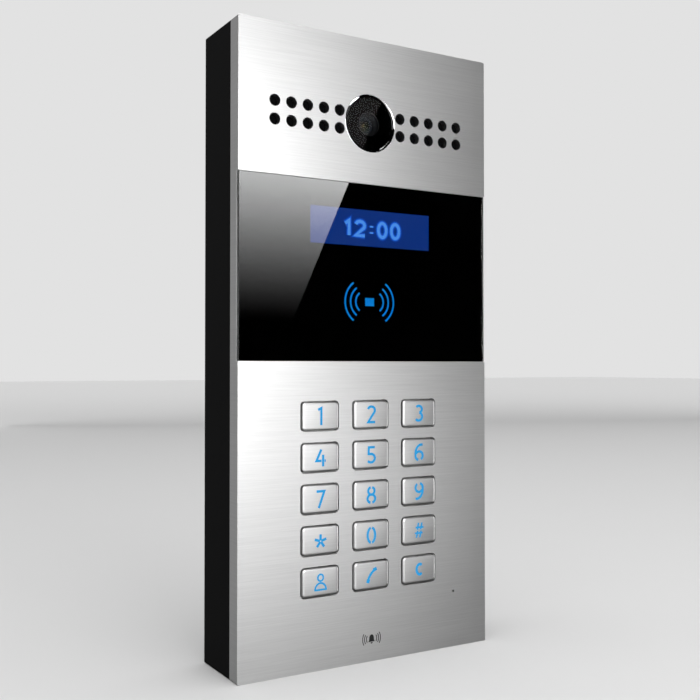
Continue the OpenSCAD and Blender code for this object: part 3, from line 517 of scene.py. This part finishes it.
# Coated crown glass: painted shade makes the middle dark, standing in for the shade inside the lens, and the
# colour turns grey towards the rim; a thin layer turns reflections violet and green
def coatedGlass(centreZ):
    material, tree, shader = startMaterial(
        "coated crown glass", IOR=1.55, Roughness=0.05, Thin_Film_Thickness=430.0, Thin_Film_IOR=1.38)
    place = addNode(tree, "ShaderNodeTexCoord")
    away = addNode(tree, "ShaderNodeVectorMath", {1: (0, 0, centreZ)}, {0: place.outputs["Object"]},
                   operation="SUBTRACT")
    flat = addNode(tree, "ShaderNodeVectorMath", {1: (1000, 0, 1000)}, {0: away.outputs[0]},
                   operation="MULTIPLY")
    radius = addNode(tree, "ShaderNodeVectorMath", links={0: flat.outputs[0]}, operation="LENGTH")
    share = addNode(tree, "ShaderNodeMath", {1: 4.2}, {0: radius.outputs["Value"]}, operation="DIVIDE")
    # painted shade: near-black base colour in the middle where the inside of the lens is in shade, lighter
    # grey further out
    paintedShadeZones = addNode(tree, "ShaderNodeValToRGB", links={"Fac": share.outputs[0]})
    paintedShadeZones.color_ramp.elements[0].color = hexColour("#0b0812")
    paintedShadeZones.color_ramp.elements[0].position = 0.36
    paintedShadeZones.color_ramp.elements[1].color = hexColour("#2c2f33")
    paintedShadeZones.color_ramp.elements[1].position = 0.46
    edge = paintedShadeZones.color_ramp.elements.new(0.85)
    edge.color = hexColour("#3a3e44")
    haze = addNode(tree, "ShaderNodeTexNoise", {"Scale": 1.0}, {"Vector": patternSpace(tree, 2, 2, 2)})
    dullness = addNode(tree, "ShaderNodeMapRange", {"To Min": 0.03, "To Max": 0.12},
                       {"Value": haze.outputs["Fac"]})
    tree.links.new(paintedShadeZones.outputs["Color"], shader.inputs["Base Color"])
    tree.links.new(dullness.outputs["Result"], shader.inputs["Roughness"])
    return material


makeCamera()
for materialSlot in nodes["lens_element"].material_slots:
    materialSlot.link = "OBJECT"
    materialSlot.material = coatedGlass((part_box("lens_element")[0].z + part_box("lens_element")[1].z) / 2)
print("camera made")


# ---- keypad ----

keyShape = {"edgeWidth": 1.15, "edgeDepth": 0.6, "cornerRadius": 1.6, "edgeSteps": 5, "legendProud": 0.02,
            "legendDepth": 0.3, "legendWidth": 1.1}


# every legend is a set of strokes in mm about the middle of its key: (path, width or None)
def legendStrokes():
    six = [[(2.0, 3.45)] + arc(1.5, -0.6, 3.5, 4.1, 100, 180, 14) + arc(0, -1.6, 2.0, 2.0, 190, 256, 8),
           [(-1.9, -0.4)] + arc(0.05, -1.6, 1.95, 1.95, 140, -60, 22)]
    person = [(arc(0, 1.9, 1.35, 1.45, 0, 360, 24), 0.8), (arc(0, -3.3, 2.7, 2.9, 180, 0), 0.8),
              ([(-3.1, -3.3), (3.1, -3.3)], 0.8)]
    handset = [(2.2, 2.55), (0.9, 1.85), (-0.4, 0.5), (-1.4, -1.1), (-1.8, -2.3)]
    return {
        "key_1": [([(-1.25, 2.75), (0.35, 3.5), (0.35, -3.9)], None)],
        "key_2": [(arc(0, 1.95, 1.85, 1.7, 160, -28) + [(-1.7, -3.35), (2.0, -3.35)], None)],
        "key_3": [(arc(-0.15, 1.85, 1.75, 1.55, 140, -78), None),
                  (arc(-0.25, -1.55, 2.0, 1.85, 78, -142), None)],
        "key_4": [([(0.35, 3.5), (-2.05, -1.4), (0.45, -1.4)], None), ([(1.25, 1.2), (1.25, -3.9)], None),
                  ([(1.95, -1.4), (2.55, -1.4)], None)],
        "key_5": [([(1.8, 3.35), (-1.3, 3.35), (-1.45, 0.4)] + arc(-0.25, -1.5, 2.1, 1.9, 104, -140), None)],
        "key_6": [(path, None) for path in six],
        "key_7": [([(-2.0, 3.35), (1.85, 3.35), (-0.9, -3.9)], None)],
        "key_8": [(arc(0, 1.8, 1.65, 1.65, 104, 436, 28), None),
                  (arc(0, -1.65, 2.0, 1.85, -76, 256, 28), None)],
        "key_9": [([(-x, -z) for x, z in path], None) for path in six],
        "key_star": [([(0.35 * math.cos(math.radians(a)), 0.35 * math.sin(math.radians(a)) - 0.3),
                       (3.0 * math.cos(math.radians(a)), 3.0 * math.sin(math.radians(a)) - 0.3)], 1.15)
                     for a in (90, 18, 162, -54, -126)],
        "key_0": [(arc(0, 0, 1.95, 3.35, 100, 260, 24), None), (arc(0, 0, 1.95, 3.35, -80, 80, 24), None)],
        "key_hash": [([(x + 0.07, 0.3), (x + 0.75, 3.4)], 0.8) for x in (-1.1, 0.8)]
        + [([(x - 0.75, -3.4), (x - 0.07, -0.3)], 0.8) for x in (-0.8, 1.1)]
        + [([(-1.9, 1.3), (2.4, 1.3)], 0.8), ([(-2.4, -1.3), (1.9, -1.3)], 0.8)],
        "key_guard": person,
        "key_call": [(handset, 1.1), ([(2.75, 2.95), (1.0, 2.3)], 1.5),
                     ([(-1.5, -1.6), (-1.95, -3.2)], 1.55)],
        "key_clear": [(arc(0.3, 0, 1.75, 2.35, 52, 308, 24), 1.2)],
    }


def makeKeys():
    for nodeName, strokes in legendStrokes().items():
        low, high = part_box(nodeName)
        centre = ((low.x + high.x) / 2 / mm, (low.z + high.z) / 2 / mm)
        front, back = -low.y / mm, -high.y / mm
        flange = ((high.x - low.x) / mm, (high.z - low.z) / mm)
        panelFront = -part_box("front_panel")[0].y / mm
        width, height = flange[0] - 2.2, flange[1] - 2.3
        radius = keyShape["cornerRadius"]
        flangeBack, flangeFront = back + 1.0, panelFront - 3.05
        plunger = roundedOutline(4, 4, 1.99)
        sections = [(plunger, back), (plunger, flangeBack), (roundedOutline(*flange, 0.6), flangeBack),
                    (roundedOutline(*flange, 0.6), flangeFront),
                    (roundedOutline(width, height, radius), flangeFront)]
        for i in range(keyShape["edgeSteps"] + 1):
            angle = math.radians(90 * i / keyShape["edgeSteps"])
            inset = keyShape["edgeWidth"] * (1 - math.cos(angle))
            depth = front - keyShape["edgeDepth"] * (1 - math.sin(angle))
            sections.append((roundedOutline(width - 2 * inset, height - 2 * inset, radius - 0.7 * inset),
                             depth))
        shell = bmesh.new()
        loft(shell, sections, centre)
        body = nodeName + "_body"
        cap = addPiece(nodeName + "_cap", finishMesh(nodeName + "_cap", shell), body,
                       finishes["key"], smoothAngle=50)
        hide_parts(nodeName)

        shell = bmesh.new()
        for i, (path, strokeWidth) in enumerate(strokes):
            proud = front + keyShape["legendProud"] + 0.004 * i
            ribbon(shell, path, strokeWidth or keyShape["legendWidth"],
                   (front - keyShape["legendDepth"], proud), centre)
        addPiece(nodeName + "_legend", finishMesh(nodeName + "_legend", shell), body,
                 finishes["legend"])


makeKeys()
print("keys made:", len(legendStrokes()))


# ---- printed bell below the keypad ----

bellMark = {"centre": (0.5, -129.9), "waves": (2.7, 3.7, 4.7), "waveWidth": 0.4, "proud": 0.03}


def makeBell():
    face = -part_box("front_panel")[0].y / mm
    depths = (face - 0.1, face + bellMark["proud"])
    dome = arc(0, 0.4, 1.2, 1.5, 0, 180)
    outline = [(1.75, -1.35), (1.3, -0.7)] + dome + [(-1.3, -0.7), (-1.75, -1.35)]
    shell = bmesh.new()
    loft(shell, [(outline, depths[0]), (outline, depths[1])], bellMark["centre"])
    clapper = arc(0, -1.6, 0.55, 0.6, 180, 360)
    loft(shell, [(clapper, depths[0]), (clapper, depths[1])], bellMark["centre"])
    for radius in bellMark["waves"]:
        for facing in (0, 180):
            ribbon(shell, arc(0, 0, radius, radius, facing - 32, facing + 32), bellMark["waveWidth"], depths,
                   bellMark["centre"])
    addPiece("bell_print", finishMesh("bell_print", shell), "unit", finishes["mark"])


makeBell()


# ---- lights, floor and camera ----

cameraView = {"position": (-0.2279, -0.4032, -0.0076), "turn": 30.6, "tilt": 0.95, "lens": 49.33}


def makeCameraView():
    data = bpy.data.cameras.new("view")
    data.lens = cameraView["lens"]
    data.sensor_width = 36
    data.clip_start = 0.01
    viewer = bpy.data.objects.new("view", data)
    viewer.location = cameraView["position"]
    viewer.rotation_euler = (math.radians(90 + cameraView["tilt"]), 0, -math.radians(cameraView["turn"]))
    scene.collection.objects.link(viewer)
    scene.camera = viewer


# glowing cards around the panel, lit like studio softboxes; the camera itself doesn't see them
# corners in metres; strength at the low and the high end of the fade, which runs along Z
studioCards = {
    "slanted_card": {"corners": ((0.33, -1, 0.03), (0.441, -1, 0.03), (0.63, -1, 0.45), (0.33, -1, 0.45)),
                     "fade": (0.06, 0.29), "strength": (0.0, 3.1), "curve": 2},
    "front_low": {"corners": ((0.33, -1, -0.38), (0.68, -1, -0.38), (0.68, -1, -0.04), (0.33, -1, -0.04)),
                  "fade": (-0.38, 0.0), "strength": (0.3, 3.9), "curve": 1},
    "left_low": {"corners": ((-0.3, -1, -0.45), (0.33, -1, -0.45), (0.33, -1, 0.0), (-0.3, -1, 0.0)),
                 "fade": (-0.45, 0.0), "strength": (0.2, 2.0), "curve": 1},
    "left_high": {"corners": ((-0.3, -1, 0.0), (0.33, -1, 0.0), (0.33, -1, 0.38), (-0.3, -1, 0.38)),
                  "fade": (0.0, 0.38), "strength": (6.9, 6.9), "curve": 1},
    "far_left": {"corners": ((-1.55, -0.45, -1.0), (-1.05, -1.25, -1.0),
                             (-1.05, -1.25, 0.7), (-1.55, -0.45, 0.7)),
                 "fade": (-1.0, 0.7), "strength": (0.8, 0.8), "curve": 1},
    "far_right": {"corners": ((1.25, -0.8, -0.42), (1.48, -0.38, -0.42),
                              (1.48, -0.38, 0.05), (1.25, -0.8, 0.05)),
                  "fade": (-1.0, 0.5), "strength": (5.0, 5.0), "curve": 1},
    "ceiling": {"corners": ((-0.6, -0.5, 1.2), (0.2, -0.5, 1.2), (0.2, 0.3, 1.2), (-0.6, 0.3, 1.2)),
                "fade": (0.0, 1.0), "strength": (1.5, 1.5), "curve": 1},
    "back_left": {"corners": ((-2.2, 1.0, -0.9), (-0.2, 1.8, -0.9), (-0.2, 1.8, 1.6), (-2.2, 1.0, 1.6)),
                  "fade": (-0.9, 1.6), "strength": (0.33, 0.33), "curve": 1},
    "back_right": {"corners": ((0.2, 1.8, -0.9), (2.2, 1.0, -0.9), (2.2, 1.0, 1.6), (0.2, 1.8, 1.6)),
                   "fade": (-0.9, 1.6), "strength": (0.33, 0.33), "curve": 1},
}


def makeCard(name, card):
    mesh = bpy.data.meshes.new(name)
    mesh.from_pydata(card["corners"], [], [(0, 1, 2, 3)])
    piece = bpy.data.objects.new(name, mesh)
    scene.collection.objects.link(piece)
    piece.visible_camera = False
    material = bpy.data.materials.new(name)
    material.use_nodes = True
    tree = material.node_tree
    tree.nodes.clear()
    place = addNode(tree, "ShaderNodeTexCoord")
    axes = addNode(tree, "ShaderNodeSeparateXYZ", links={"Vector": place.outputs["Object"]})
    along = addNode(tree, "ShaderNodeMapRange", {"From Min": card["fade"][0], "From Max": card["fade"][1]},
                    {"Value": axes.outputs["Z"]})
    curved = addNode(tree, "ShaderNodeMath", {1: card["curve"]}, {0: along.outputs["Result"]},
                     operation="POWER")
    fade = addNode(tree, "ShaderNodeMapRange",
                   {"To Min": card["strength"][0], "To Max": card["strength"][1]},
                   {"Value": curved.outputs[0]})
    glow = addNode(tree, "ShaderNodeEmission", links={"Strength": fade.outputs["Result"]})
    addNode(tree, "ShaderNodeOutputMaterial", links={"Surface": glow.outputs["Emission"]})
    mesh.materials.append(material)


def makeLights():
    for name, card in studioCards.items():
        makeCard(name, card)


# the surroundings look pale, and light the object only dimly, as a large room does
def makeSurroundings():
    world = bpy.data.worlds.new("surroundings")
    scene.world = world
    world.use_nodes = True
    tree = world.node_tree
    tree.nodes.clear()
    path = addNode(tree, "ShaderNodeLightPath")
    seen = addNode(tree, "ShaderNodeBackground", {"Color": hexColour("#e2e2e2"), "Strength": 1.0})
    dim = addNode(tree, "ShaderNodeBackground", {"Color": hexColour("#ffffff"), "Strength": 1.0})
    world.cycles_visibility.glossy = False  # black flags keep the room out of the glass
    world.cycles_visibility.transmission = False
    mixed = addNode(tree, "ShaderNodeMixShader", links={0: path.outputs["Is Camera Ray"]})
    tree.links.new(dim.outputs[0], mixed.inputs[1])
    tree.links.new(seen.outputs[0], mixed.inputs[2])
    addNode(tree, "ShaderNodeOutputWorld", links={"Surface": mixed.outputs[0]})

    mesh = bpy.data.meshes.new("floor")
    half = 8
    ground = cadBounds[0].z
    mesh.from_pydata([(-half, -half, ground), (half, -half, ground),
                      (half, half, ground), (-half, half, ground)],
                     [], [(0, 1, 2, 3)])
    floor = bpy.data.objects.new("floor", mesh)
    scene.collection.objects.link(floor)
    floor.visible_glossy = False
    material, tree, shader = startMaterial("pale floor", Roughness=0.7, Specular_IOR_Level=0.1,
                                           Base_Color=hexColour("#dfdfdf"))
    mesh.materials.append(material)


makeCameraView()
makeLights()
makeSurroundings()
print("lights, floor and camera made")
